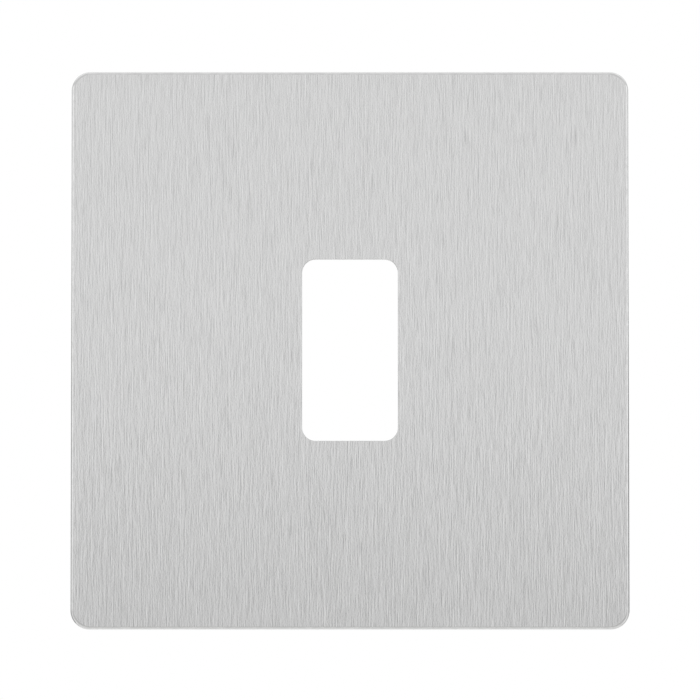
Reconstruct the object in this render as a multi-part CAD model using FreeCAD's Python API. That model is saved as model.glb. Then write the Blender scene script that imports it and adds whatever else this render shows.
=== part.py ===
"""Grid switch plate, one module wide: a brushed steel front plate bonded to a moulded clip carrier.

Millimetres. Seen from the room, X runs to the right, Z runs up and Y runs into the wall. The origin is
the middle of the plate on the wall's surface, so the front of the plate lies at negative Y.
"""
import FreeCAD, Part
import math
import os

Vector = FreeCAD.Vector

# Front plate, a flat blank of stainless steel
PLATE_WIDTH = 95.0
PLATE_HEIGHT = 95.0
PLATE_CORNER_RADIUS = 3.2
PLATE_PROJECTION = 5.5
SHEET_THICKNESS = 1.0
PLATE_EDGE_ROUND = 0.6

# Aperture in the front plate, which the bezel of one switch module fills
APERTURE_WIDTH = 16.3
APERTURE_HEIGHT = 30.9
APERTURE_CORNER_RADIUS = 2.3
APERTURE_EDGE_ROUND = 0.3

# Clip carrier: a web bonded to the back of the plate, and a skirt that reaches the wall
SKIRT_INSET = 0.7
SKIRT_WALL = 1.4
SKIRT_INNER_CORNER_RADIUS = 1.1
WEB_THICKNESS = 1.0
WEB_ROOT_RADIUS = 0.4
MOULD_DRAFT_DEGREES = 1.0
SKIRT_REAR_ROUND = 0.3

# Window in the web, with a collar and the four ribs that carry its sides on to the skirt
WINDOW_CLEARANCE = 0.6
COLLAR_WALL = 1.0
RIB_TOP_THICKNESS = 0.8
RIB_CLEARANCE_TO_FRAME = 0.4

# Grid frame that the plate clips on: a metal sheet lying on the wall behind the plate
FRAME_THICKNESS = 1.5
FRAME_SCREW_SPACING = 60.3
SCREW_OPENING_WIDTH = 12.0
SCREW_OPENING_HEIGHT = 9.0
SCREW_OPENING_CORNER_RADIUS = 3.0

# Snap legs, which pass through slots in the grid frame and hook behind it
LEG_SPACING_ACROSS = 52.0
LEG_SPACING_UP = 62.0
LEG_WIDTH = 8.0
LEG_THICKNESS = 1.0
LEG_ROOT_RADIUS = 0.6
LEG_REACH_BEHIND_WALL = 2.8
NOSE_OVERHANG = 0.5
NOSE_LAND = 0.4
NOSE_TIP_SETBACK = 0.4
NOSE_GAP_BEHIND_FRAME = 0.1
CORE_WINDOW_CLEARANCE = 0.3

# Notch in the bottom of the skirt, where a screwdriver levers the plate off
NOTCH_WIDTH = 9.0
NOTCH_DEPTH = 1.8
NOTCH_CORNER_RADIUS = 0.6

# Places that follow from the sizes above
WALL_Y = 0.0
FRONT_Y = WALL_Y - PLATE_PROJECTION
SHEET_BACK_Y = FRONT_Y + SHEET_THICKNESS
WEB_BACK_Y = SHEET_BACK_Y + WEB_THICKNESS
RIB_TOP_Y = WALL_Y - FRAME_THICKNESS - RIB_CLEARANCE_TO_FRAME
CARRIER_WIDTH = PLATE_WIDTH - 2 * SKIRT_INSET
CARRIER_HEIGHT = PLATE_HEIGHT - 2 * SKIRT_INSET
CARRIER_CORNER_RADIUS = PLATE_CORNER_RADIUS - SKIRT_INSET
WINDOW_WIDTH = APERTURE_WIDTH + 2 * WINDOW_CLEARANCE
WINDOW_HEIGHT = APERTURE_HEIGHT + 2 * WINDOW_CLEARANCE
WINDOW_CORNER_RADIUS = APERTURE_CORNER_RADIUS + WINDOW_CLEARANCE
DRAFT = math.tan(math.radians(MOULD_DRAFT_DEGREES))
# Cuts run this far past the face that they leave, so that no skin is left there
CUT_OVERRUN = 1.0
# Edges this close to a plane lie on it
ON_PLANE = 1e-4


def rounded_rectangle(width, height, radius, y):
    """Closed outline at depth y, centred on the Y axis."""
    across = width / 2 - radius
    up = height / 2 - radius
    arcs = []
    for quarter, (x, z) in enumerate([(across, up), (-across, up), (-across, -up), (across, -up)]):
        points = []
        for eighth in (0, 1, 2):
            angle = math.radians(90 * quarter + 45 * eighth)
            points.append(Vector(x + radius * math.cos(angle), y, z + radius * math.sin(angle)))
        arcs.append(Part.Arc(*points))
    edges = []
    for arc, following in zip(arcs, arcs[1:] + arcs[:1]):
        edges.append(arc.toShape())
        edges.append(Part.LineSegment(arc.EndPoint, following.StartPoint).toShape())
    return Part.Wire(edges)


def rounded_block(width, height, radius, y_front, y_back):
    """Straight-sided block with rounded corners between two depths."""
    face = Part.Face(rounded_rectangle(width, height, radius, y_front))
    return face.extrude(Vector(0, y_back - y_front, 0))


def drafted_block(width, height, radius, y_front, y_back):
    """Block whose sides open out towards the wall by the mould's draft, with its sizes given at the front."""
    growth = (y_back - y_front) * DRAFT
    front = rounded_rectangle(width, height, radius, y_front)
    back = rounded_rectangle(width + 2 * growth, height + 2 * growth, radius + growth, y_back)
    return Part.makeLoft([front, back], True, True)


def edges_at_depth(shape, y, half_width, half_height):
    """Edges that lie at depth y, and inside the given half sizes."""
    found = []
    for edge in shape.Edges:
        box = edge.BoundBox
        at_depth = abs(box.YMin - y) < ON_PLANE and abs(box.YMax - y) < ON_PLANE
        inside = max(-box.XMin, box.XMax) < half_width and max(-box.ZMin, box.ZMax) < half_height
        if at_depth and inside:
            found.append(edge)
    return found


def front_plate():
    """Flat steel blank with a rounded front edge and a pierced aperture."""
    blank = rounded_block(PLATE_WIDTH, PLATE_HEIGHT, PLATE_CORNER_RADIUS, FRONT_Y, SHEET_BACK_Y)
    blank = blank.makeFillet(PLATE_EDGE_ROUND, edges_at_depth(blank, FRONT_Y, PLATE_WIDTH, PLATE_HEIGHT))
    pierced = blank.cut(
        rounded_block(
            APERTURE_WIDTH,
            APERTURE_HEIGHT,
            APERTURE_CORNER_RADIUS,
            FRONT_Y - CUT_OVERRUN,
            SHEET_BACK_Y + CUT_OVERRUN,
        )
    )
    half_width = APERTURE_WIDTH / 2 + CUT_OVERRUN
    half_height = APERTURE_HEIGHT / 2 + CUT_OVERRUN
    rim = edges_at_depth(pierced, FRONT_Y, half_width, half_height)
    return pierced.makeFillet(APERTURE_EDGE_ROUND, rim)


def tray():
    """Web and skirt in one, open towards the wall."""
    outside = drafted_block(CARRIER_WIDTH, CARRIER_HEIGHT, CARRIER_CORNER_RADIUS, SHEET_BACK_Y, WALL_Y)
    outside = outside.makeFillet(
        SKIRT_REAR_ROUND, edges_at_depth(outside, WALL_Y, PLATE_WIDTH, PLATE_HEIGHT)
    )
    inside = drafted_block(
        CARRIER_WIDTH - 2 * SKIRT_WALL,
        CARRIER_HEIGHT - 2 * SKIRT_WALL,
        SKIRT_INNER_CORNER_RADIUS,
        WEB_BACK_Y,
        WALL_Y + CUT_OVERRUN,
    )
    inside = inside.makeFillet(
        WEB_ROOT_RADIUS, edges_at_depth(inside, WEB_BACK_Y, PLATE_WIDTH, PLATE_HEIGHT)
    )
    return outside.cut(inside)


def collar():
    """Raised wall round the window, solid until the window is cut."""
    return rounded_block(
        WINDOW_WIDTH + 2 * COLLAR_WALL,
        WINDOW_HEIGHT + 2 * COLLAR_WALL,
        WINDOW_CORNER_RADIUS + COLLAR_WALL,
        SHEET_BACK_Y,
        RIB_TOP_Y,
    )


def rib(half_width, half_height, narrows_across, narrows_up):
    """Rib across the middle, from the web to the ribs' tops, narrower at the top on its drafted sides."""
    return Part.makeWedge(
        -half_width,
        SHEET_BACK_Y,
        -half_height,
        -half_height + narrows_up,
        -half_width + narrows_across,
        half_width,
        RIB_TOP_Y,
        half_height,
        half_height - narrows_up,
        half_width - narrows_across,
    )


def ribs():
    """Four ribs that carry the sides of the collar straight on to the skirt."""
    draft = (RIB_TOP_Y - SHEET_BACK_Y) * DRAFT
    half_root = RIB_TOP_THICKNESS / 2 + draft
    half_width = CARRIER_WIDTH / 2 - SKIRT_WALL / 2
    half_height = CARRIER_HEIGHT / 2 - SKIRT_WALL / 2
    beside_window = WINDOW_WIDTH / 2 + COLLAR_WALL / 2
    above_window = WINDOW_HEIGHT / 2 + COLLAR_WALL / 2
    made = []
    for side in (-1, 1):
        upright = rib(half_root, half_height, draft, 0)
        upright.translate(Vector(side * beside_window, 0, 0))
        level = rib(half_width, half_root, 0, draft)
        level.translate(Vector(0, 0, side * above_window))
        made += [upright, level]
    return made


def snap_leg():
    """Upper right leg: a flat arm with a hooked nose that faces up and away from the window."""
    inner = LEG_SPACING_UP / 2 - LEG_THICKNESS
    outer = LEG_SPACING_UP / 2
    tip_y = WALL_Y + LEG_REACH_BEHIND_WALL
    hook_y = WALL_Y + NOSE_GAP_BEHIND_FRAME
    turn = LEG_ROOT_RADIUS * (1 - math.sqrt(0.5))

    def at(z, y):
        return Vector(0, y, z)

    root_curve = Part.Arc(
        at(inner - LEG_ROOT_RADIUS, WEB_BACK_Y),
        at(inner - turn, WEB_BACK_Y + turn),
        at(inner, WEB_BACK_Y + LEG_ROOT_RADIUS),
    )
    corners = [
        at(inner, WEB_BACK_Y + LEG_ROOT_RADIUS),
        at(inner, tip_y),
        at(outer - NOSE_TIP_SETBACK, tip_y),
        at(outer + NOSE_OVERHANG, hook_y + NOSE_LAND),
        at(outer + NOSE_OVERHANG, hook_y),
        at(outer, hook_y),
        at(outer, SHEET_BACK_Y),
        at(inner - LEG_ROOT_RADIUS, SHEET_BACK_Y),
        at(inner - LEG_ROOT_RADIUS, WEB_BACK_Y),
    ]
    edges = [root_curve.toShape()]
    for start, end in zip(corners, corners[1:]):
        edges.append(Part.LineSegment(start, end).toShape())
    leg = Part.Face(Part.Wire(edges)).extrude(Vector(LEG_WIDTH, 0, 0))
    leg.translate(Vector(LEG_SPACING_ACROSS / 2 - LEG_WIDTH / 2, 0, 0))
    return leg


def core_window():
    """Opening in the web beside the upper right leg, through which the mould forms the hook of its nose."""
    low = LEG_SPACING_UP / 2
    high = low + NOSE_OVERHANG + CORE_WINDOW_CLEARANCE
    opening = Part.makeBox(
        LEG_WIDTH + 2 * CORE_WINDOW_CLEARANCE, WEB_THICKNESS + 2 * CUT_OVERRUN, high - low
    )
    opening.translate(
        Vector(
            LEG_SPACING_ACROSS / 2 - LEG_WIDTH / 2 - CORE_WINDOW_CLEARANCE,
            SHEET_BACK_Y - CUT_OVERRUN,
            low,
        )
    )
    return opening


def in_four_corners(shape):
    """The shape and its mirror images across the plate's two middle planes."""
    pair = [shape, shape.mirror(Vector(0, 0, 0), Vector(1, 0, 0))]
    return pair + [one.mirror(Vector(0, 0, 0), Vector(0, 0, 1)) for one in pair]


def screw_openings():
    """Openings in the web that leave room for the heads of the grid frame's two fixing screws."""
    made = []
    for side in (-1, 1):
        opening = rounded_block(
            SCREW_OPENING_WIDTH,
            SCREW_OPENING_HEIGHT,
            SCREW_OPENING_CORNER_RADIUS,
            SHEET_BACK_Y - CUT_OVERRUN,
            WEB_BACK_Y + CUT_OVERRUN,
        )
        opening.translate(Vector(side * FRAME_SCREW_SPACING / 2, 0, 0))
        made.append(opening)
    return made


def lever_notch():
    """Notch through the bottom of the skirt at the wall, with rounded inner corners."""
    half = NOTCH_WIDTH / 2
    base_z = -PLATE_HEIGHT / 2
    height = SKIRT_INSET + SKIRT_WALL + CUT_OVERRUN
    notch = Part.makeBox(NOTCH_WIDTH, NOTCH_DEPTH + CUT_OVERRUN, height)
    notch.translate(Vector(-half, WALL_Y - NOTCH_DEPTH, base_z))
    corners = []
    for edge in notch.Edges:
        box = edge.BoundBox
        if box.ZLength > height / 2 and abs(box.YMax - (WALL_Y - NOTCH_DEPTH)) < ON_PLANE:
            corners.append(edge)
    return notch.makeFillet(NOTCH_CORNER_RADIUS, corners)


def clip_carrier():
    """Moulded carrier: tray, collar, ribs and snap legs in one piece, with all its openings cut."""
    legs = in_four_corners(snap_leg())
    body = tray().fuse([collar()] + ribs() + legs)
    window = rounded_block(
        WINDOW_WIDTH, WINDOW_HEIGHT, WINDOW_CORNER_RADIUS, SHEET_BACK_Y - CUT_OVERRUN, WALL_Y
    )
    openings = [window, lever_notch()] + screw_openings() + in_four_corners(core_window())
    return body.cut(openings).removeSplitter()


def main():
    os.makedirs("parts", exist_ok=True)
    pieces = {"front_plate": front_plate(), "clip_carrier": clip_carrier()}
    for name, shape in pieces.items():
        solid = shape.Solids[0]
        box = solid.BoundBox
        print(
            name,
            "solids", len(shape.Solids),
            "valid", shape.isValid(),
            "volume", round(solid.Volume, 1),
            "size", round(box.XLength, 2), round(box.YLength, 2), round(box.ZLength, 2),
        )
        solid.exportStep(f"parts/{name}.step")


main()
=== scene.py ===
"""Grid switch plate, one module wide: a brushed steel front plate on a moulded clip carrier.

Metres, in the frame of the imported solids. Seen from the room, X runs to the right, Z runs up and Y runs
into the wall. The file is laid out as an add-on: an operator makes each piece, and one sets the stage.
"""
import math

import bmesh
import bpy
from bpy.props import FloatProperty, FloatVectorProperty, PointerProperty
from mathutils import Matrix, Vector


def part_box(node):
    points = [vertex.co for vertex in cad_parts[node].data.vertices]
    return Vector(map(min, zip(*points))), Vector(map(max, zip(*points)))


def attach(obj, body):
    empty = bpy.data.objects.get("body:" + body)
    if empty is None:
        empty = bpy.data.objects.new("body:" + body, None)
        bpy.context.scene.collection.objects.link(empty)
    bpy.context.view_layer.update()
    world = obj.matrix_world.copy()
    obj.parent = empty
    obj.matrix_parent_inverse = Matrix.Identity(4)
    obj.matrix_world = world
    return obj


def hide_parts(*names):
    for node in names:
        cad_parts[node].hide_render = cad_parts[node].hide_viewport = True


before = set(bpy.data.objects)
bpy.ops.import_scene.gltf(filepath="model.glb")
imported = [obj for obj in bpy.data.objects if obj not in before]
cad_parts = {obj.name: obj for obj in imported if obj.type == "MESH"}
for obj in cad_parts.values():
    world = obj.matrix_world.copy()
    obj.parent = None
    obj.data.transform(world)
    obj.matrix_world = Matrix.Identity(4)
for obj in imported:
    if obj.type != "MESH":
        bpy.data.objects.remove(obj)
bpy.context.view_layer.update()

bl_info = {
    "name": "Grid Switch Plate",
    "version": (1, 0, 0),
    "blender": (4, 5, 0),
    "location": "View3D > Sidebar > Switch Plate",
    "description": "Models a clip-on grid switch plate and the stage that shows it",
    "category": "Add Mesh",
}

MM = 0.001

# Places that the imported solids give
PLATE_LOW, PLATE_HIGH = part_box("front_plate")
CARRIER_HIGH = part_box("clip_carrier")[1]
WALL_Y = 0.0
FRONT_Y = PLATE_LOW.y
SHEET_BACK_Y = PLATE_HIGH.y

# Segments of a quarter turn, from the large corners down to a broken edge
CORNER_SEGMENTS = 16
EDGE_SEGMENTS = 8
SMALL_SEGMENTS = 4
BREAK_SEGMENTS = 2
PIN_SIDES = 32
# Points this close together, or this close to a plane, count as one
NEAR = 0.002 * MM
# Surfaces that have to cross overlap by this much
OVERLAP = 0.01 * MM
# A face whose normal runs in or out by at least this share counts as flat
FLAT = 0.9999
# Faces that meet at less than this are shaded as one surface
SMOOTH_ANGLE = math.radians(30)
# Turns a primitive that lies level so that it faces the room
FACING_ROOM = (math.radians(90), 0.0, 0.0)
# Ejector pins stand this many of their own widths from the walls
PIN_SPACING = 1.7
# Map of the steel sheet laid out flat, along which the brushing runs
SHEET_MAP = "sheet"


def linear(hex_colour):
    """Linear red, green and blue of an sRGB hex value."""
    channels = [int(hex_colour[start : start + 2], 16) / 255 for start in (1, 3, 5)]
    return tuple(c / 12.92 if c <= 0.04045 else ((c + 0.055) / 1.055) ** 2.4 for c in channels)


def length(name, description, default):
    """Setting for a length, shown to a hundredth of a millimetre."""
    return FloatProperty(
        name=name, description=description, default=default, min=0.0, precision=5, unit="LENGTH"
    )


def colour(name, description, hex_colour):
    """Setting for a colour."""
    return FloatVectorProperty(
        name=name, description=description, default=linear(hex_colour), min=0.0, max=1.0, subtype="COLOR"
    )


def angle(name, description, degrees):
    """Setting for an angle."""
    return FloatProperty(
        name=name, description=description, default=math.radians(degrees), subtype="ANGLE"
    )


class FrontPlateSettings(bpy.types.PropertyGroup):
    """Sizes and colours of the steel front plate"""

    width: length("Width", "Width of the blank", PLATE_HIGH.x - PLATE_LOW.x)
    height: length("Height", "Height of the blank", PLATE_HIGH.z - PLATE_LOW.z)
    thickness: length("Thickness", "Thickness of the steel sheet", PLATE_HIGH.y - PLATE_LOW.y)
    corner_radius: length("Corner radius", "Radius of the four corners", 3.2 * MM)
    edge_round: length("Edge round", "Radius of the outer front edge", 0.6 * MM)
    back_break: length("Back edge break", "Size of the broken edges at the back", 0.06 * MM)
    aperture_width: length("Aperture width", "Width of the module's opening", 16.3 * MM)
    aperture_height: length("Aperture height", "Height of the module's opening", 30.9 * MM)
    aperture_corner_radius: length("Aperture corners", "Radius of the opening's corners", 2.3 * MM)
    aperture_edge_round: length("Aperture edge round", "Radius of the opening's front edge", 0.1 * MM)
    # The crest colour is painted highlight and the furrow colour painted shade, for the light the brush
    # lines' grooves catch and miss
    line_highlight_colour: colour("Crest colour", "Steel on the bright side of a brush line", "#D6D6D6")
    line_shade_colour: colour("Furrow colour", "Steel in the furrow of a brush line", "#B1B1B1")
    # The scratch colour is painted shade in the stray deeper scratches
    scratch_shade_colour: colour("Scratch colour", "Steel in a stray deeper scratch", "#8C8C8C")
    edge_colour: colour("Edge colour", "Steel of the smooth rounded edges", "#C5C5C5")
    mill_colour: colour("Mill colour", "Steel of the unbrushed back", "#B4B4B2")


class ClipCarrierSettings(bpy.types.PropertyGroup):
    """Sizes and colour of the moulded carrier behind the front plate"""

    skirt_inset: length("Skirt inset", "How far the skirt stands inside the plate's edge", 0.7 * MM)
    skirt_wall: length("Skirt wall", "Thickness of the skirt at the web", 1.4 * MM)
    skirt_rear_round: length("Skirt rear round", "Radius of the skirt's outer edge at the wall", 0.3 * MM)
    web_thickness: length("Web thickness", "Thickness of the web behind the steel", 1.0 * MM)
    web_root_radius: length("Web root radius", "Radius between the web and the skirt", 0.4 * MM)
    draft: angle("Draft", "Taper of the walls that lets the mould open", 1.0)
    edge_break: length("Edge break", "Size of the broken edges on ribs, rims and legs", 0.1 * MM)
    window_clearance: length("Window clearance", "Gap from the aperture to the window", 0.6 * MM)
    collar_wall: length("Collar wall", "Thickness of the wall round the window", 1.0 * MM)
    rib_thickness: length("Rib thickness", "Thickness of the ribs at their top", 0.8 * MM)
    rib_setback: length("Rib setback", "Depth from the wall to the tops of the ribs", 1.9 * MM)
    screw_spacing: length("Screw spacing", "Distance between the two screw openings", 60.3 * MM)
    screw_opening_width: length("Screw opening width", "Width of a screw opening", 12.0 * MM)
    screw_opening_height: length("Screw opening height", "Height of a screw opening", 9.0 * MM)
    screw_opening_radius: length("Screw opening corners", "Corner radius of a screw opening", 3.0 * MM)
    leg_spacing_across: length("Legs across", "Distance between the legs' middles", 52.0 * MM)
    leg_spacing_up: length("Legs up", "Distance between the legs' outer faces", 62.0 * MM)
    leg_width: length("Leg width", "Width of a snap leg", 8.0 * MM)
    leg_thickness: length("Leg thickness", "Thickness of a snap leg", 1.0 * MM)
    leg_root_radius: length("Leg root radius", "Radius at the root of a leg", 0.6 * MM)
    leg_reach: length("Leg reach", "How far a leg reaches behind the wall's surface", CARRIER_HIGH.y)
    nose_overhang: length("Nose overhang", "How far the nose hooks outwards", 0.5 * MM)
    nose_land: length("Nose land", "Flat at the top of the nose", 0.4 * MM)
    nose_tip_setback: length("Nose tip setback", "How far the tip stands back for its lead-in", 0.4 * MM)
    nose_gap: length("Nose gap", "Depth of the hook behind the wall's surface", 0.1 * MM)
    core_clearance: length("Core clearance", "Room round the nose in its core window", 0.3 * MM)
    notch_width: length("Notch width", "Width of the lever notch", 9.0 * MM)
    notch_depth: length("Notch depth", "Depth of the lever notch from the wall", 1.8 * MM)
    notch_radius: length("Notch corners", "Radius of the lever notch's inner corners", 0.6 * MM)
    pin_mark_diameter: length("Pin mark diameter", "Width of an ejector pin's mark", 3.0 * MM)
    pin_mark_depth: length("Pin mark depth", "Depth of an ejector pin's mark", 0.12 * MM)
    plastic_colour: colour("Plastic colour", "Colour of the moulded polycarbonate", "#7E8184")


class StageSettings(bpy.types.PropertyGroup):
    """Floor, light and camera of the stage"""

    camera_distance: length("Camera distance", "Distance from the camera to the face", 0.9)
    camera_height: angle("Camera height", "Angle of the camera above the level of the face", -2.6)
    frame_width: length("Frame width", "Width that the picture shows at the face", 119.13 * MM)
    floor_drop: length("Floor drop", "Height of the plate's middle above the floor", 0.62)
    floor_size: length("Floor size", "Length of the floor's sides", 16.0)
    floor_colour: colour("Floor colour", "Colour of the pale floor", "#F2F2F1")
    studio_level: FloatProperty(
        name="Studio level",
        description="Strength of the light that comes from all round",
        default=0.75,
        min=0.0,
    )


def add_node(tree, kind, settings=None, inputs=None):
    """Adds a node with its settings, and its inputs as values or as links from other nodes' outputs."""
    node = tree.nodes.new(kind)
    for name, value in (settings or {}).items():
        setattr(node, name, value)
    for name, value in (inputs or {}).items():
        if isinstance(value, bpy.types.NodeSocket):
            tree.links.new(value, node.inputs[name])
        else:
            node.inputs[name].default_value = value
    return node


def new_material(name):
    """Material with an empty node tree."""
    material = bpy.data.materials.new(name)
    material.use_nodes = True
    material.node_tree.nodes.clear()
    return material


# Nearly all of a noise texture's values lie in this range
NOISE_LOW, NOISE_HIGH = 0.3, 0.7
# Places of the two colours and the result among the Mix node's sockets
MIX_FIRST, MIX_SECOND, MIX_RESULT = 6, 7, 2

# Brush lines, as a line's width and length and its share in the pattern. A real belt's lines are 0.02 to
# 0.05 mm wide, too fine to show, so they are drawn about three times as wide.
BRUSH_LAYERS = (
    (0.09 * MM, 0.5 * MM, 0.22),
    (0.11 * MM, 2.2 * MM, 0.32),
    (0.12 * MM, 5.0 * MM, 0.24),
    (0.13 * MM, 12.0 * MM, 0.22),
)
# Lines side by side take strips of the noise that lie this many of its cells apart, and start at heights
# that differ by up to this many of their own lengths
STRIP_STEP = 7.31
SLIP_LENGTHS = 50.0
# Lines aren't all equally wide: a noise that changes over this many widths shifts them by up to this many
CROWD_WIDTHS = 3.0
CROWD_SHARE = 1.2
# A furrow has a bright flank of painted highlight, and a darker one of painted shade this far beside it and
# with this share of its strength
FLANK_STEP = 0.17 * MM
SHADED_FLANK_SHARE = 0.6
# How far the sum of the lines strays from its middle
BRUSH_SPREAD = 0.3
# Roughness of the darkest and the brightest lines
BRUSH_ROUGHNESS = (0.25, 0.31)
# Bright lines lean up and dark ones down by up to this much, so that they glint where the light changes
LINE_LEAN = math.radians(2.4)
# Depth of the lines, and the share of it that shows
BRUSH_DEPTH = 0.01 * MM
BRUSH_RELIEF = 0.08
# Stray deeper scratches of the belt, the noise at which they start and are deepest, and how far they then
# take on a darker colour, which is painted shade in their grooves
SCRATCH_WIDTH, SCRATCH_LENGTH = 0.09 * MM, 5.0 * MM
SCRATCH_START, SCRATCH_DEEPEST = 0.68, 0.85
SCRATCH_SHADE_SHARE = 0.36

# Marks in a finish across, into and up the plate, and the tone and roughness of dark and light marks
EDGE_MARKS = (0.9 * MM, 0.12 * MM, 0.9 * MM)
EDGE_TONES = (0.92, 1.08)
EDGE_ROUGHNESS = (0.2, 0.14)
MILL_MARKS = (1.2 * MM, 1.2 * MM, 3.0 * MM)
MILL_TONES = (0.85, 1.0)
MILL_ROUGHNESS = (0.42, 0.34)
# The plastic's real grain is about 0.05 mm, too fine to show, and is drawn six times as coarse. The melt's
# flow leaves broad faint clouds, a little narrower than the window, with this share in the tone.
GRAIN_WIDTH = 0.3 * MM
FLOW_WIDTH = 14.0 * MM
FLOW_SHARE = 0.6
PLASTIC_TONES = (0.89, 1.11)
PLASTIC_ROUGHNESS = (0.62, 0.48)
# Depth of the plastic's grain, and the share of it that shows
GRAIN_DEPTH = 0.03 * MM
GRAIN_RELIEF = 0.35


def brush_lines(tree, place, line_width, line_length):
    """Broken upright lines of the given size, as values from 0 to 1."""
    point = add_node(tree, "ShaderNodeSeparateXYZ", None, {"Vector": place}).outputs
    crowd = add_node(
        tree,
        "ShaderNodeTexNoise",
        {"noise_dimensions": "1D"},
        {"W": point["X"], "Scale": 1 / (CROWD_WIDTHS * line_width), "Detail": 0.0},
    )
    across = add_node(
        tree,
        "ShaderNodeMath",
        {"operation": "MULTIPLY_ADD"},
        {0: crowd.outputs["Fac"], 1: CROWD_SHARE * line_width, 2: point["X"]},
    )
    strip = add_node(
        tree, "ShaderNodeMath", {"operation": "SNAP"}, {0: across.outputs["Value"], 1: line_width}
    )
    slip = add_node(
        tree, "ShaderNodeTexWhiteNoise", {"noise_dimensions": "1D"}, {"W": strip.outputs["Value"]}
    )
    up = add_node(
        tree,
        "ShaderNodeMath",
        {"operation": "MULTIPLY_ADD"},
        {0: slip.outputs["Value"], 1: SLIP_LENGTHS * line_length, 2: point["Z"]},
    )
    spot = add_node(
        tree, "ShaderNodeCombineXYZ", None, {"X": strip.outputs["Value"], "Y": up.outputs["Value"]}
    )
    laid = add_node(
        tree,
        "ShaderNodeMapping",
        None,
        {
            "Vector": spot.outputs["Vector"],
            "Scale": (STRIP_STEP / line_width, 1 / line_length, 1.0),
        },
    )
    streaks = add_node(
        tree,
        "ShaderNodeTexNoise",
        {"noise_dimensions": "2D"},
        {"Vector": laid.outputs["Vector"], "Scale": 1.0, "Detail": 0.0},
    )
    return streaks.outputs["Fac"]


def brush_pattern(tree, place):
    """Sum of the brush lines, each with a bright flank and a darker one beside it, which give the face its
    painted highlight and painted shade and also shape its bump.
    """
    beside = add_node(
        tree, "ShaderNodeMapping", None, {"Vector": place, "Location": (FLANK_STEP, 0.0, 0.0)}
    )
    lines = 0.0
    for line_width, line_length, share in BRUSH_LAYERS:
        for flank, weight in ((place, share), (beside.outputs["Vector"], -SHADED_FLANK_SHARE * share)):
            streaks = brush_lines(tree, flank, line_width, line_length)
            added = add_node(
                tree, "ShaderNodeMath", {"operation": "MULTIPLY_ADD"}, {0: streaks, 1: weight, 2: lines}
            )
            lines = added.outputs["Value"]
    return lines


def brushed_normal(tree, lines, shade):
    """Normal of the brushed face, whose lines lean up or down and stand out a little."""
    lean = add_node(
        tree, "ShaderNodeMapRange", None, {"Value": shade, "To Min": -LINE_LEAN, "To Max": LINE_LEAN}
    )
    upward = add_node(tree, "ShaderNodeCombineXYZ", None, {"Z": lean.outputs["Result"]})
    straight = add_node(tree, "ShaderNodeNewGeometry")
    leaning = add_node(
        tree,
        "ShaderNodeVectorMath",
        {"operation": "ADD"},
        {0: straight.outputs["Normal"], 1: upward.outputs["Vector"]},
    )
    facing = add_node(
        tree, "ShaderNodeVectorMath", {"operation": "NORMALIZE"}, {0: leaning.outputs["Vector"]}
    )
    relief = add_node(
        tree,
        "ShaderNodeBump",
        None,
        {
            "Height": lines,
            "Strength": BRUSH_RELIEF,
            "Distance": BRUSH_DEPTH,
            "Normal": facing.outputs["Vector"],
        },
    )
    return relief.outputs["Normal"]


def brushed_stainless(size):
    """Stainless steel sheet brushed up and down with a belt.

    Fine broken lines run up the face, with painted highlight on their crests and painted shade in their
    furrows, and a stray deeper scratch here and there painted dark as shade. The highlight is drawn out
    across them.
    """
    material = new_material("brushed_stainless")
    tree = material.node_tree
    place = add_node(tree, "ShaderNodeTexCoord").outputs["Object"]
    lines = brush_pattern(tree, place)
    # The lines add up to this where every noise is at its middle
    middle = (1 - SHADED_FLANK_SHARE) / 2
    shade = add_node(
        tree,
        "ShaderNodeMapRange",
        None,
        {"Value": lines, "From Min": middle - BRUSH_SPREAD, "From Max": middle + BRUSH_SPREAD},
    ).outputs["Result"]
    # Painted highlight on the crests and painted shade in the furrows of the brush lines
    painted_line_light = add_node(
        tree,
        "ShaderNodeMix",
        {"data_type": "RGBA"},
        {
            0: shade,
            MIX_FIRST: (*size.line_shade_colour, 1.0),
            MIX_SECOND: (*size.line_highlight_colour, 1.0),
        },
    )
    # Stray deeper scratches darkened with painted shade
    scratch_shade_mask = add_node(
        tree,
        "ShaderNodeMapRange",
        None,
        {
            "Value": brush_lines(tree, place, SCRATCH_WIDTH, SCRATCH_LENGTH),
            "From Min": SCRATCH_START,
            "From Max": SCRATCH_DEEPEST,
            "To Min": 0.0,
            "To Max": SCRATCH_SHADE_SHARE,
        },
    )
    scratch_shaded = add_node(
        tree,
        "ShaderNodeMix",
        {"data_type": "RGBA"},
        {
            0: scratch_shade_mask.outputs["Result"],
            MIX_FIRST: painted_line_light.outputs[MIX_RESULT],
            MIX_SECOND: (*size.scratch_shade_colour, 1.0),
        },
    )
    gloss = add_node(
        tree,
        "ShaderNodeMapRange",
        None,
        {"Value": shade, "To Min": BRUSH_ROUGHNESS[0], "To Max": BRUSH_ROUGHNESS[1]},
    )
    tangent = add_node(tree, "ShaderNodeTangent", {"direction_type": "UV_MAP", "uv_map": SHEET_MAP})
    shader = add_node(
        tree,
        "ShaderNodeBsdfPrincipled",
        None,
        {
            "Base Color": scratch_shaded.outputs[MIX_RESULT],
            "Metallic": 1.0,
            "Roughness": gloss.outputs["Result"],
            "Anisotropic": 0.9,
            "Tangent": tangent.outputs["Tangent"],
            "Normal": brushed_normal(tree, lines, shade),
        },
    )
    add_node(tree, "ShaderNodeOutputMaterial", None, {"Surface": shader.outputs["BSDF"]})
    return material


def sized_marks(tree, widths, detail):
    """Marks of the given widths across, into and up the plate, as values from 0 to 1."""
    place = add_node(tree, "ShaderNodeTexCoord").outputs["Object"]
    laid = add_node(
        tree, "ShaderNodeMapping", None, {"Vector": place, "Scale": [1 / width for width in widths]}
    )
    noise = add_node(
        tree,
        "ShaderNodeTexNoise",
        None,
        {"Vector": laid.outputs["Vector"], "Scale": 1.0, "Detail": detail},
    )
    return noise.outputs["Fac"]


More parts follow.
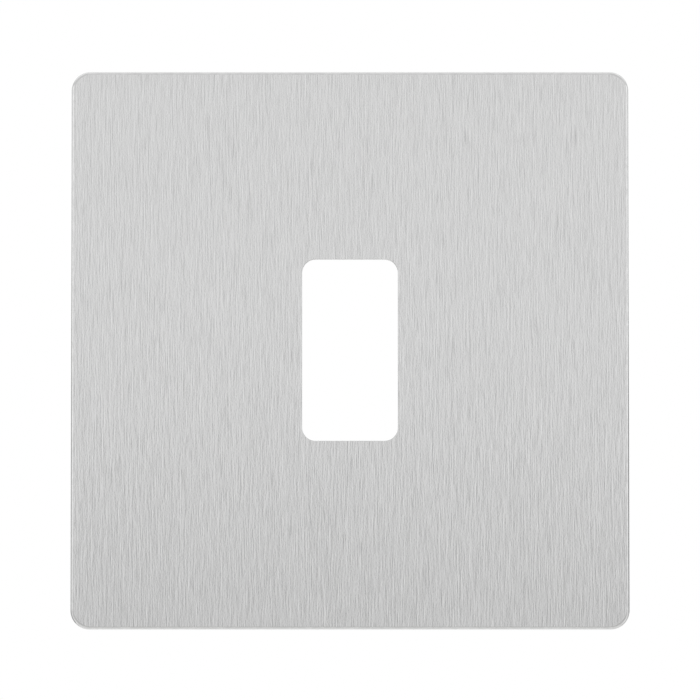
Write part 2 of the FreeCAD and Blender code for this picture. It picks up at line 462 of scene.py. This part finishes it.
def mottled(tree, base, tones, tone_marks, roughness, gloss_marks):
    """Colour and roughness of a shader, each led by marks from its first value to its second."""
    shade = add_node(
        tree,
        "ShaderNodeMapRange",
        None,
        {"Value": tone_marks, "From Min": NOISE_LOW, "From Max": NOISE_HIGH},
    )
    dark, light = [(*[share * channel for channel in base], 1.0) for share in tones]
    tone = add_node(
        tree,
        "ShaderNodeMix",
        {"data_type": "RGBA"},
        {0: shade.outputs["Result"], MIX_FIRST: dark, MIX_SECOND: light},
    )
    gloss = add_node(
        tree,
        "ShaderNodeMapRange",
        None,
        {
            "Value": gloss_marks,
            "From Min": NOISE_LOW,
            "From Max": NOISE_HIGH,
            "To Min": roughness[0],
            "To Max": roughness[1],
        },
    )
    return {"Base Color": tone.outputs[MIX_RESULT], "Roughness": gloss.outputs["Result"]}


def rolled_steel_edge(size):
    """Stainless steel edge, rounded over and tumbled smooth, so that it shows thin clear reflections."""
    material = new_material("rolled_steel_edge")
    tree = material.node_tree
    drag = sized_marks(tree, EDGE_MARKS, detail=2.0)
    look = mottled(tree, size.edge_colour, EDGE_TONES, drag, EDGE_ROUGHNESS, drag)
    shader = add_node(tree, "ShaderNodeBsdfPrincipled", None, {"Metallic": 1.0, **look})
    add_node(tree, "ShaderNodeOutputMaterial", None, {"Surface": shader.outputs["BSDF"]})
    return material


def mill_finish_steel(size):
    """Stainless steel as rolled at the mill, at the back: even, silky and faintly cloudy."""
    material = new_material("mill_finish_steel")
    tree = material.node_tree
    cloud = sized_marks(tree, MILL_MARKS, detail=4.0)
    look = mottled(tree, size.mill_colour, MILL_TONES, cloud, MILL_ROUGHNESS, cloud)
    shader = add_node(tree, "ShaderNodeBsdfPrincipled", None, {"Metallic": 1.0, **look})
    add_node(tree, "ShaderNodeOutputMaterial", None, {"Surface": shader.outputs["BSDF"]})
    return material


def eroded_polycarbonate(size):
    """Grey polycarbonate moulded in a spark-eroded tool: a fine even grain that dulls the gloss."""
    material = new_material("eroded_polycarbonate")
    tree = material.node_tree
    grain = sized_marks(tree, [GRAIN_WIDTH] * 3, detail=2.0)
    flow = sized_marks(tree, [FLOW_WIDTH] * 3, detail=2.0)
    clouds = add_node(tree, "ShaderNodeMath", {"operation": "MULTIPLY"}, {0: flow, 1: FLOW_SHARE})
    mottle = add_node(
        tree,
        "ShaderNodeMath",
        {"operation": "MULTIPLY_ADD"},
        {0: grain, 1: 1 - FLOW_SHARE, 2: clouds.outputs["Value"]},
    )
    look = mottled(
        tree, size.plastic_colour, PLASTIC_TONES, mottle.outputs["Value"], PLASTIC_ROUGHNESS, grain
    )
    relief = add_node(
        tree, "ShaderNodeBump", None, {"Height": grain, "Strength": GRAIN_RELIEF, "Distance": GRAIN_DEPTH}
    )
    shader = add_node(
        tree,
        "ShaderNodeBsdfPrincipled",
        None,
        {"IOR": 1.58, "Normal": relief.outputs["Normal"], **look},
    )
    add_node(tree, "ShaderNodeOutputMaterial", None, {"Surface": shader.outputs["BSDF"]})
    return material


def select(kind, test):
    """Selects the vertices, edges or faces of the mesh in edit mode that pass the test."""
    bpy.ops.mesh.select_mode(type=kind)
    bpy.ops.mesh.select_all(action="DESELECT")
    mesh = bpy.context.edit_object.data
    edited = bmesh.from_edit_mesh(mesh)
    elements = {"VERT": edited.verts, "EDGE": edited.edges, "FACE": edited.faces}[kind]
    found = [element for element in elements if test(element)]
    if not found:
        raise RuntimeError(f"{bpy.context.edit_object.name}: nothing to select")
    for element in found:
        element.select_set(True)
    bmesh.update_edit_mesh(mesh)


def lies_at(element, y):
    """True if all the element's points lie at depth y."""
    return all(abs(vertex.co.y - y) < NEAR for vertex in element.verts)


def lies_within(element, half_width, half_height):
    """True if all the element's points lie inside the given half sizes."""
    return all(abs(vertex.co.x) < half_width and abs(vertex.co.z) < half_height for vertex in element.verts)


def tidy_mesh():
    """Merges doubled points and turns all faces outwards, in edit mode."""
    bpy.ops.mesh.select_all(action="SELECT")
    bpy.ops.mesh.remove_doubles(threshold=NEAR)
    bpy.ops.mesh.normals_make_consistent(inside=False)


def rounded_outline(name, width, height, radius, y, centre=(0.0, 0.0), segments=CORNER_SEGMENTS):
    """Flat sheet with rounded corners at depth y, facing the room, left in edit mode with all selected."""
    bpy.ops.object.select_all(action="DESELECT")
    place = (centre[0], y, centre[1])
    bpy.ops.mesh.primitive_plane_add(size=1.0, location=place, rotation=FACING_ROOM)
    sheet = bpy.context.active_object
    sheet.name = name
    sheet.data.name = name
    sheet.scale = (width, height, 1.0)
    bpy.ops.object.transform_apply(location=True, rotation=True, scale=True)
    bpy.ops.object.mode_set(mode="EDIT")
    bpy.ops.mesh.select_all(action="SELECT")
    bpy.ops.mesh.bevel(offset=radius, segments=segments, affect="VERTICES")
    bpy.ops.mesh.select_all(action="SELECT")
    return sheet


def extrude(move):
    """Extrudes what is selected in edit mode."""
    bpy.ops.mesh.extrude_region_move(TRANSFORM_OT_translate={"value": move})


def rounded_block(name, width, height, radius, y_front, y_back, flare_y=None, flare=0.0, **outline):
    """Straight-sided block with rounded corners between two depths.

    As a cutter it can flare out at flare_y, where it leaves the solid, to break the edge of its opening.
    """
    block = rounded_outline(name, width, height, radius, y_front, **outline)
    if flare_y is None:
        extrude((0, y_back - y_front, 0))
    else:
        x, z = outline.get("centre", (0.0, 0.0))
        extrude((0, flare_y - flare - y_front, 0))
        extrude((0, flare, 0))
        flared = (1 + 2 * flare / width, 1, 1 + 2 * flare / height)
        bpy.ops.transform.resize(value=flared, center_override=(x, 0, z))
        extrude((0, y_back - flare_y, 0))
    tidy_mesh()
    bpy.ops.object.mode_set(mode="OBJECT")
    return block


def apply_modifier(piece, kind, **settings):
    """Adds a modifier to a piece and applies it."""
    bpy.ops.object.select_all(action="DESELECT")
    piece.select_set(True)
    bpy.context.view_layer.objects.active = piece
    modifier = piece.modifiers.new(kind.lower(), kind)
    for name, value in settings.items():
        setattr(modifier, name, value)
    bpy.ops.object.modifier_apply(modifier=modifier.name)


def mirror(piece, across=False, up=False):
    """Repeats a piece on the other side of the plate's middle planes."""
    apply_modifier(piece, "MIRROR", use_axis=(across, False, up), use_mirror_merge=False)


def combine(piece, other, operation):
    """Adds the other solid to a piece, or cuts it away, and removes it."""
    apply_modifier(piece, "BOOLEAN", operation=operation, solver="EXACT", object=other)
    bpy.ops.object.mode_set(mode="EDIT")
    tidy_mesh()
    bpy.ops.object.mode_set(mode="OBJECT")
    mesh = other.data
    bpy.data.objects.remove(other)
    bpy.data.meshes.remove(mesh)


def break_edges(width, segments=BREAK_SEGMENTS):
    """Rounds the selected edges, in edit mode."""
    bpy.ops.mesh.bevel(offset=width, offset_type="OFFSET", segments=segments, affect="EDGES")


def finish_piece(piece, node):
    """Shades a piece, ties it to the frame, and hides the imported solid that it stands for."""
    bpy.ops.object.select_all(action="DESELECT")
    piece.select_set(True)
    bpy.context.view_layer.objects.active = piece
    bpy.ops.object.shade_smooth_by_angle(angle=SMOOTH_ANGLE)
    apply_modifier(piece, "WEIGHTED_NORMAL", mode="FACE_AREA", keep_sharp=True)
    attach(piece, "root")
    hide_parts(node)


class GRIDPLATE_OT_front_plate(bpy.types.Operator):
    """Model the brushed steel front plate"""

    bl_idname = "gridplate.front_plate"
    bl_label = "Front Plate"
    bl_options = {"REGISTER", "UNDO"}

    def execute(self, context):
        size = context.scene.gridplate_front
        hole = rounded_outline(
            "aperture", size.aperture_width, size.aperture_height, size.aperture_corner_radius, FRONT_Y
        )
        bpy.ops.object.mode_set(mode="OBJECT")
        plate = rounded_outline(
            "brushed_front_plate", size.width, size.height, size.corner_radius, FRONT_Y
        )
        bpy.ops.object.mode_set(mode="OBJECT")
        hole.select_set(True)
        bpy.ops.object.join()
        bpy.ops.object.mode_set(mode="EDIT")
        bpy.ops.mesh.select_all(action="SELECT")
        bpy.ops.mesh.delete(type="ONLY_FACE")
        bpy.ops.mesh.select_mode(type="EDGE")
        bpy.ops.mesh.select_all(action="SELECT")
        bpy.ops.mesh.bridge_edge_loops()
        bpy.ops.mesh.select_mode(type="FACE")
        bpy.ops.mesh.select_all(action="SELECT")
        extrude((0, size.thickness, 0))
        tidy_mesh()
        self.round_edges(size)
        self.give_finishes(plate, size)
        bpy.ops.object.mode_set(mode="OBJECT")
        finish_piece(plate, "front_plate")
        return {"FINISHED"}

    def round_edges(self, size):
        """Rounds the front edges of the blank and the aperture, and breaks the edges at the back."""
        half_width = size.aperture_width / 2 + NEAR
        half_height = size.aperture_height / 2 + NEAR

        def folds_at(edge, y):
            return lies_at(edge, y) and edge.calc_face_angle(0.0) > SMOOTH_ANGLE

        def on_aperture(edge):
            return lies_within(edge, half_width, half_height)

        select("EDGE", lambda edge: folds_at(edge, FRONT_Y) and not on_aperture(edge))
        break_edges(size.edge_round, EDGE_SEGMENTS)
        select("EDGE", lambda edge: folds_at(edge, FRONT_Y) and on_aperture(edge))
        break_edges(size.aperture_edge_round, SMALL_SEGMENTS)
        select("EDGE", lambda edge: folds_at(edge, SHEET_BACK_Y))
        break_edges(size.back_break)
        tidy_mesh()

    def give_finishes(self, plate, size):
        """Gives the face, the edges and the back their own finish, and lays the sheet out flat."""
        finishes = (
            (rolled_steel_edge(size), lambda face: abs(face.normal.y) < FLAT),
            (brushed_stainless(size), lambda face: face.normal.y < -FLAT),
            (mill_finish_steel(size), lambda face: face.normal.y > FLAT),
        )
        for index, (material, test) in enumerate(finishes):
            plate.data.materials.append(material)
            plate.active_material_index = index
            select("FACE", test)
            bpy.ops.object.material_slot_assign()
        bpy.ops.mesh.select_all(action="SELECT")
        bpy.ops.uv.cube_project(cube_size=size.width)
        plate.data.uv_layers.active.name = SHEET_MAP


class GRIDPLATE_OT_clip_carrier(bpy.types.Operator):
    """Model the moulded clip carrier behind the front plate"""

    bl_idname = "gridplate.clip_carrier"
    bl_label = "Clip Carrier"
    bl_options = {"REGISTER", "UNDO"}

    def execute(self, context):
        plate = context.scene.gridplate_front
        size = context.scene.gridplate_carrier
        self.web_back_y = SHEET_BACK_Y + size.web_thickness
        self.web_middle_y = SHEET_BACK_Y + size.web_thickness / 2
        self.rib_top_y = WALL_Y - size.rib_setback
        self.window_width = plate.aperture_width + 2 * size.window_clearance
        self.window_height = plate.aperture_height + 2 * size.window_clearance
        self.window_radius = plate.aperture_corner_radius + size.window_clearance
        self.width = plate.width - 2 * size.skirt_inset
        self.height = plate.height - 2 * size.skirt_inset
        carrier = self.tray(plate, size)
        combine(carrier, self.collar(size), "UNION")
        combine(carrier, self.window(size), "DIFFERENCE")
        for solid in (self.upright_ribs(size), self.level_ribs(size), self.snap_legs(size)):
            combine(carrier, solid, "UNION")
        for solid in (
            self.screw_openings(size),
            self.core_windows(size),
            self.lever_notch(plate, size),
            self.pin_marks(size),
        ):
            combine(carrier, solid, "DIFFERENCE")
        carrier.data.materials.append(eroded_polycarbonate(size))
        finish_piece(carrier, "clip_carrier")
        return {"FINISHED"}

    def tray(self, plate, size):
        """Web and skirt in one, open towards the wall, with walls that open out by the draft."""
        slope = math.tan(size.draft)
        depth = WALL_Y - SHEET_BACK_Y
        pocket = WALL_Y - self.web_back_y
        tray = rounded_outline(
            "moulded_clip_carrier",
            self.width,
            self.height,
            plate.corner_radius - size.skirt_inset,
            SHEET_BACK_Y,
        )
        extrude((0, depth, 0))
        grown = 1 + 2 * depth * slope / self.width
        bpy.ops.transform.resize(value=(grown, 1, grown), center_override=(0, 0, 0))
        tidy_mesh()
        select("EDGE", lambda edge: lies_at(edge, WALL_Y))
        break_edges(size.skirt_rear_round, SMALL_SEGMENTS)
        select("FACE", lambda face: lies_at(face, WALL_Y))
        wall_at_rear = size.skirt_wall + (depth - pocket) * slope
        bpy.ops.mesh.inset(thickness=wall_at_rear - size.skirt_rear_round, use_even_offset=True)
        extrude((0, -pocket, 0))
        inner_width = self.width - 2 * size.skirt_wall
        inner_at_rear = inner_width + 2 * pocket * slope
        shrunk = inner_width / inner_at_rear
        bpy.ops.transform.resize(value=(shrunk, 1, shrunk), center_override=(0, 0, 0))
        tidy_mesh()
        rim = inner_at_rear / 2 + size.edge_break
        select("EDGE", lambda edge: lies_at(edge, WALL_Y) and lies_within(edge, rim, rim))
        break_edges(size.edge_break)
        select("EDGE", lambda edge: lies_at(edge, self.web_back_y))
        break_edges(size.web_root_radius, SMALL_SEGMENTS)
        tidy_mesh()
        bpy.ops.object.mode_set(mode="OBJECT")
        return tray

    def collar(self, size):
        """Raised wall round the window, solid until the window is cut."""
        collar = rounded_block(
            "collar",
            self.window_width + 2 * size.collar_wall,
            self.window_height + 2 * size.collar_wall,
            self.window_radius + size.collar_wall,
            self.web_middle_y,
            self.rib_top_y,
        )
        self.break_top(size)
        return collar

    def break_top(self, size, long_side=0.0):
        """Breaks the edges at the top of the active solid that are longer than the given length."""
        bpy.ops.object.mode_set(mode="EDIT")
        select("EDGE", lambda edge: lies_at(edge, self.rib_top_y) and edge.calc_length() > long_side)
        break_edges(size.edge_break)
        tidy_mesh()
        bpy.ops.object.mode_set(mode="OBJECT")

    def rib(self, size, name, long_side, centre, upright):
        """Rib with drafted sides, from inside the web to the ribs' tops."""
        bpy.ops.object.select_all(action="DESELECT")
        rise = self.rib_top_y - self.web_middle_y
        root = size.rib_thickness + 2 * rise * math.tan(size.draft)
        place = (centre[0], self.web_middle_y, centre[1])
        bpy.ops.mesh.primitive_plane_add(size=1.0, location=place, rotation=FACING_ROOM)
        rib = bpy.context.active_object
        rib.name = name
        rib.scale = (root, long_side, 1.0) if upright else (long_side, root, 1.0)
        bpy.ops.object.transform_apply(location=True, rotation=True, scale=True)
        bpy.ops.object.mode_set(mode="EDIT")
        bpy.ops.mesh.select_all(action="SELECT")
        extrude((0, rise, 0))
        narrowed = size.rib_thickness / root
        value = (narrowed, 1, 1) if upright else (1, 1, narrowed)
        bpy.ops.transform.resize(value=value, center_override=(centre[0], 0, centre[1]))
        tidy_mesh()
        bpy.ops.object.mode_set(mode="OBJECT")
        self.break_top(size, long_side / 2)
        return rib

    def upright_ribs(self, size):
        """Pair of ribs that carry the collar's sides on up and down to the skirt."""
        beside = self.window_width / 2 + size.collar_wall / 2
        ribs = self.rib(size, "upright_ribs", self.height - size.skirt_wall, (beside, 0.0), upright=True)
        mirror(ribs, across=True)
        return ribs

    def level_ribs(self, size):
        """Pair of ribs that carry the collar's top and bottom on across to the skirt."""
        above = self.window_height / 2 + size.collar_wall / 2
        ribs = self.rib(size, "level_ribs", self.width - size.skirt_wall, (0.0, above), upright=False)
        mirror(ribs, up=True)
        return ribs

    def snap_legs(self, size):
        """Four legs: flat arms with a filleted root and a hooked nose that faces away from the window."""
        outer = size.leg_spacing_up / 2
        inner = outer - size.leg_thickness
        hook_y = WALL_Y + size.nose_gap
        start = Vector(
            (
                size.leg_spacing_across / 2 - size.leg_width / 2,
                self.web_middle_y,
                inner - size.leg_root_radius,
            )
        )
        # The root's curve starts just under the web's surface, so that the two surfaces cross
        root_y = self.web_back_y - OVERLAP
        corners = (
            (root_y, inner - size.leg_root_radius),
            (root_y, inner),
            (WALL_Y + size.leg_reach, inner),
            (WALL_Y + size.leg_reach, outer - size.nose_tip_setback),
            (hook_y + size.nose_land, outer + size.nose_overhang),
            (hook_y, outer + size.nose_overhang),
            (hook_y, outer),
            (self.web_middle_y, outer),
        )
        bpy.ops.object.select_all(action="DESELECT")
        bpy.ops.mesh.primitive_plane_add(size=size.leg_width, location=start)
        legs = bpy.context.active_object
        legs.name = "snap_legs"
        bpy.ops.object.transform_apply(location=True, rotation=True, scale=True)
        bpy.ops.object.mode_set(mode="EDIT")
        bpy.ops.mesh.select_mode(type="VERT")
        bpy.ops.mesh.select_all(action="SELECT")
        bpy.ops.mesh.merge(type="CENTER")
        at = start
        for y, z in corners:
            corner = Vector((start.x, y, z))
            extrude(corner - at)
            at = corner
        bpy.ops.mesh.select_all(action="SELECT")
        bpy.ops.mesh.edge_face_add()
        # The second corner is the root's, and the four after it are those of the tip and the nose
        root, *nose = [Vector((start.x, y, z)) for y, z in corners[1:6]]
        select("VERT", lambda vertex: (vertex.co - root).length < NEAR)
        bpy.ops.mesh.bevel(offset=size.leg_root_radius, segments=EDGE_SEGMENTS, affect="VERTICES")
        select("VERT", lambda vertex: any((vertex.co - corner).length < NEAR for corner in nose))
        bpy.ops.mesh.bevel(offset=size.edge_break, segments=BREAK_SEGMENTS, affect="VERTICES")
        bpy.ops.mesh.select_all(action="SELECT")
        extrude((size.leg_width, 0, 0))
        tidy_mesh()
        bpy.ops.object.mode_set(mode="OBJECT")
        mirror(legs, across=True, up=True)
        return legs

    def window(self, size):
        """Cutter for the window that the module passes through."""
        past = WALL_Y - self.rib_top_y
        return rounded_block(
            "window",
            self.window_width,
            self.window_height,
            self.window_radius,
            SHEET_BACK_Y - past,
            self.rib_top_y + past,
            flare_y=self.rib_top_y,
            flare=size.edge_break,
        )

    def screw_openings(self, size):
        """Cutters for the openings that leave room for two screw heads."""
        openings = rounded_block(
            "screw_openings",
            size.screw_opening_width,
            size.screw_opening_height,
            size.screw_opening_radius,
            SHEET_BACK_Y - size.web_thickness,
            self.web_back_y + size.web_thickness,
            flare_y=self.web_back_y,
            flare=size.edge_break,
            centre=(size.screw_spacing / 2, 0.0),
        )
        mirror(openings, across=True)
        return openings

    def core_windows(self, size):
        """Cutters for the openings beside the legs, through which the mould forms their noses."""
        rise = size.nose_overhang + size.core_clearance
        windows = rounded_block(
            "core_windows",
            size.leg_width + 2 * size.core_clearance,
            rise,
            size.edge_break,
            SHEET_BACK_Y - size.web_thickness,
            self.web_back_y + size.web_thickness / 2,
            centre=(size.leg_spacing_across / 2, size.leg_spacing_up / 2 + rise / 2),
            segments=BREAK_SEGMENTS,
        )
        mirror(windows, across=True, up=True)
        return windows

    def lever_notch(self, plate, size):
        """Cutter for the notch at the bottom of the skirt, with rounded inner corners."""
        past = size.skirt_wall
        low = -plate.height / 2 - past
        high = -self.height / 2 + size.skirt_wall + past / 2
        bpy.ops.object.select_all(action="DESELECT")
        bpy.ops.mesh.primitive_cube_add(
            size=1.0, location=(0, WALL_Y - size.notch_depth / 2 + past / 2, (low + high) / 2)
        )
        notch = bpy.context.active_object
        notch.name = "lever_notch"
        notch.scale = (size.notch_width, size.notch_depth + past, high - low)
        bpy.ops.object.transform_apply(location=True, rotation=True, scale=True)
        bpy.ops.object.mode_set(mode="EDIT")
        deep = WALL_Y - size.notch_depth

        def upright(edge):
            return abs(edge.verts[0].co.z - edge.verts[1].co.z) > past

        select("EDGE", lambda edge: lies_at(edge, deep) and upright(edge))
        break_edges(size.notch_radius, SMALL_SEGMENTS)
        tidy_mesh()
        bpy.ops.object.mode_set(mode="OBJECT")
        return notch

    def pin_marks(self, size):
        """Cutters for the shallow round marks that the ejector pins leave on the web."""
        pins = []
        clear = PIN_SPACING * size.pin_mark_diameter
        corner = self.width / 2 - size.skirt_wall - clear
        beside = self.window_width / 2 + size.collar_wall + clear
        above = self.window_height / 2 + size.collar_wall + clear
        for x, z in ((corner, corner), (beside, above)):
            bpy.ops.object.select_all(action="DESELECT")
            bpy.ops.mesh.primitive_cylinder_add(
                vertices=PIN_SIDES,
                radius=size.pin_mark_diameter / 2,
                depth=2 * size.pin_mark_depth,
                location=(x, self.web_back_y, z),
                rotation=FACING_ROOM,
            )
            bpy.ops.object.transform_apply(location=True, rotation=True, scale=True)
            pins.append(bpy.context.active_object)
        for pin in pins:
            pin.select_set(True)
        bpy.ops.object.join()
        marks = bpy.context.active_object
        marks.name = "pin_marks"
        mirror(marks, across=True, up=True)
        return marks


def aim(thing, target):
    """Turns a lamp or camera towards a point."""
    direction = Vector(target) - thing.location
    thing.rotation_euler = direction.to_track_quat("-Z", "Y").to_euler()


# Softboxes, as their width, height, place, aim and brightness, where 1 is as bright as white paper
SOFTBOXES = {
    "front_softbox": (1.6, 0.195, (0.0, -0.6, 0.0825), (0.0, 0.0, 0.0825), 0.17),
    "left_softbox": (0.42, 0.85, (-0.51, -0.21, -0.175), (0.0, 0.0, -0.175), 0.45),
    "right_softbox": (0.42, 0.85, (0.51, -0.21, -0.175), (0.0, 0.0, -0.175), 0.45),
    "overhead_softbox": (3.0, 1.2, (0.0, 0.2, 1.0), (0.0, 0.0, 0.0), 0.33),
    "low_softbox": (0.9, 2.8, (0.0, 0.2, -0.6), (0.0, 0.2, 0.0), 0.15),
    "rear_softbox": (1.0, 1.0, (-0.9, 1.0, 1.2), (0.0, 0.0, 0.0), 4.5),
}
# Lights the back, and would burn out the rim if reflections showed it
UNREFLECTED_SOFTBOX = "rear_softbox"
# Cards that lean away on both sides and only show in reflections, as the places of their foot and top
# across and up, and the share of light that they return
REFLECTED_CARDS = {
    "left_card": ((-0.7, -0.6), (-1.5, 0.12), 0.55),
    "right_card": ((1.25, -0.2), (1.5, 0.08), 0.34),
}
# How far the cards reach along the line of sight, and how far behind the plate their middle lies
CARD_LENGTH = 3.3
CARD_SETBACK = 1.35
# The camera shows what lies between this share of its distance and this many lengths of the floor
CLIP_SHARE = 0.01
CLIP_FLOORS = 10


class GRIDPLATE_OT_stage(bpy.types.Operator):
    """Set up the floor, the light and the camera"""

    bl_idname = "gridplate.stage"
    bl_label = "Stage"
    bl_options = {"REGISTER", "UNDO"}

    def execute(self, context):
        stage = context.scene.gridplate_stage
        self.floor(stage)
        for name, card in REFLECTED_CARDS.items():
            self.card(name, *card)
        self.surroundings(context.scene, stage)
        for name, softbox in SOFTBOXES.items():
            self.softbox(name, *softbox)
        self.camera(context.scene, stage)
        context.scene.view_settings.view_transform = "Standard"
        return {"FINISHED"}

    def floor(self, stage):
        """Plain pale floor, well below the plate."""
        bpy.ops.object.select_all(action="DESELECT")
        bpy.ops.mesh.primitive_plane_add(size=stage.floor_size, location=(0, 0, -stage.floor_drop))
        floor = bpy.context.active_object
        floor.name = "pale_floor"
        floor.data.materials.append(self.matt("pale_floor", stage.floor_colour))

    def card(self, name, foot, top, share):
        """Long card that leans away beside the plate and shapes the reflections in its rim."""
        slope = Vector(top) - Vector(foot)
        middle = (Vector(top) + Vector(foot)) / 2
        bpy.ops.object.select_all(action="DESELECT")
        bpy.ops.mesh.primitive_plane_add(size=1.0, location=(middle.x, CARD_SETBACK, middle.y))
        card = bpy.context.active_object
        card.name = name
        card.scale = (slope.length, CARD_LENGTH, 1.0)
        card.rotation_euler.y = -math.atan2(slope.y, slope.x)
        card.data.materials.append(self.matt(name, (share, share, share)))
        card.visible_camera = False
        card.visible_diffuse = False
        card.visible_shadow = False

    def matt(self, name, shade):
        """Matt material for the stage."""
        material = new_material(name)
        shader = add_node(
            material.node_tree,
            "ShaderNodeBsdfPrincipled",
            None,
            {"Base Color": (*shade, 1.0), "Roughness": 0.8},
        )
        add_node(material.node_tree, "ShaderNodeOutputMaterial", None, {"Surface": shader.outputs["BSDF"]})
        return material

    def surroundings(self, scene, stage):
        """World that is white to the eye and in reflections, and lights the plate from all round."""
        world = bpy.data.worlds.new("studio")
        scene.world = world
        world.use_nodes = True
        tree = world.node_tree
        tree.nodes.clear()
        path = add_node(tree, "ShaderNodeLightPath").outputs
        seen = path["Is Camera Ray"]
        for ray in ("Is Glossy Ray", "Is Transmission Ray"):
            either = add_node(tree, "ShaderNodeMath", {"operation": "MAXIMUM"}, {0: seen, 1: path[ray]})
            seen = either.outputs["Value"]
        white = (1.0, 1.0, 1.0, 1.0)
        light = add_node(
            tree, "ShaderNodeBackground", None, {"Color": white, "Strength": stage.studio_level}
        )
        view = add_node(tree, "ShaderNodeBackground", None, {"Color": white, "Strength": 1.0})
        mixed = add_node(
            tree,
            "ShaderNodeMixShader",
            None,
            {0: seen, 1: light.outputs["Background"], 2: view.outputs["Background"]},
        )
        add_node(tree, "ShaderNodeOutputWorld", None, {"Surface": mixed.outputs["Shader"]})

    def softbox(self, name, width, height, place, target, brightness):
        """Large soft lamp that the camera doesn't show."""
        bpy.ops.object.select_all(action="DESELECT")
        bpy.ops.object.light_add(type="AREA", location=place)
        lamp = bpy.context.active_object
        lamp.name = name
        lamp.data.shape = "RECTANGLE"
        lamp.data.size = width
        lamp.data.size_y = height
        lamp.data.energy = brightness * math.pi * width * height
        lamp.visible_camera = False
        lamp.visible_glossy = name != UNREFLECTED_SOFTBOX
        aim(lamp, target)

    def camera(self, scene, stage):
        """Camera a little below the middle of the face, looking slightly up at it."""
        target = Vector((0, FRONT_Y, 0))
        back = Vector((0, -math.cos(stage.camera_height), math.sin(stage.camera_height)))
        bpy.ops.object.select_all(action="DESELECT")
        bpy.ops.object.camera_add(location=target + stage.camera_distance * back)
        camera = bpy.context.active_object
        camera.name = "studio_camera"
        camera.data.lens = camera.data.sensor_width * stage.camera_distance / stage.frame_width
        camera.data.clip_start = CLIP_SHARE * stage.camera_distance
        camera.data.clip_end = CLIP_FLOORS * stage.floor_size
        aim(camera, target)
        scene.camera = camera


class GRIDPLATE_PT_sidebar(bpy.types.Panel):
    """Pieces of the switch plate and their settings"""

    bl_idname = "GRIDPLATE_PT_sidebar"
    bl_label = "Grid Switch Plate"
    bl_space_type = "VIEW_3D"
    bl_region_type = "UI"
    bl_category = "Switch Plate"

    def draw(self, context):
        scene = context.scene
        for operator, settings in (
            (GRIDPLATE_OT_front_plate, scene.gridplate_front),
            (GRIDPLATE_OT_clip_carrier, scene.gridplate_carrier),
            (GRIDPLATE_OT_stage, scene.gridplate_stage),
        ):
            box = self.layout.box()
            box.operator(operator.bl_idname)
            for name in settings.__annotations__:
                box.prop(settings, name)


CLASSES = (
    FrontPlateSettings,
    ClipCarrierSettings,
    StageSettings,
    GRIDPLATE_OT_front_plate,
    GRIDPLATE_OT_clip_carrier,
    GRIDPLATE_OT_stage,
    GRIDPLATE_PT_sidebar,
)


def register():
    """Registers the classes and hangs their settings on the scene."""
    for one in CLASSES:
        bpy.utils.register_class(one)
    bpy.types.Scene.gridplate_front = PointerProperty(type=FrontPlateSettings)
    bpy.types.Scene.gridplate_carrier = PointerProperty(type=ClipCarrierSettings)
    bpy.types.Scene.gridplate_stage = PointerProperty(type=StageSettings)


def unregister():
    """Takes the settings and the classes away again."""
    del bpy.types.Scene.gridplate_stage
    del bpy.types.Scene.gridplate_carrier
    del bpy.types.Scene.gridplate_front
    for one in reversed(CLASSES):
        bpy.utils.unregister_class(one)


def main():
    """Makes the pieces and the stage."""
    register()
    bpy.ops.gridplate.front_plate()
    bpy.ops.gridplate.clip_carrier()
    bpy.ops.gridplate.stage()


if __name__ == "__main__":
    main()
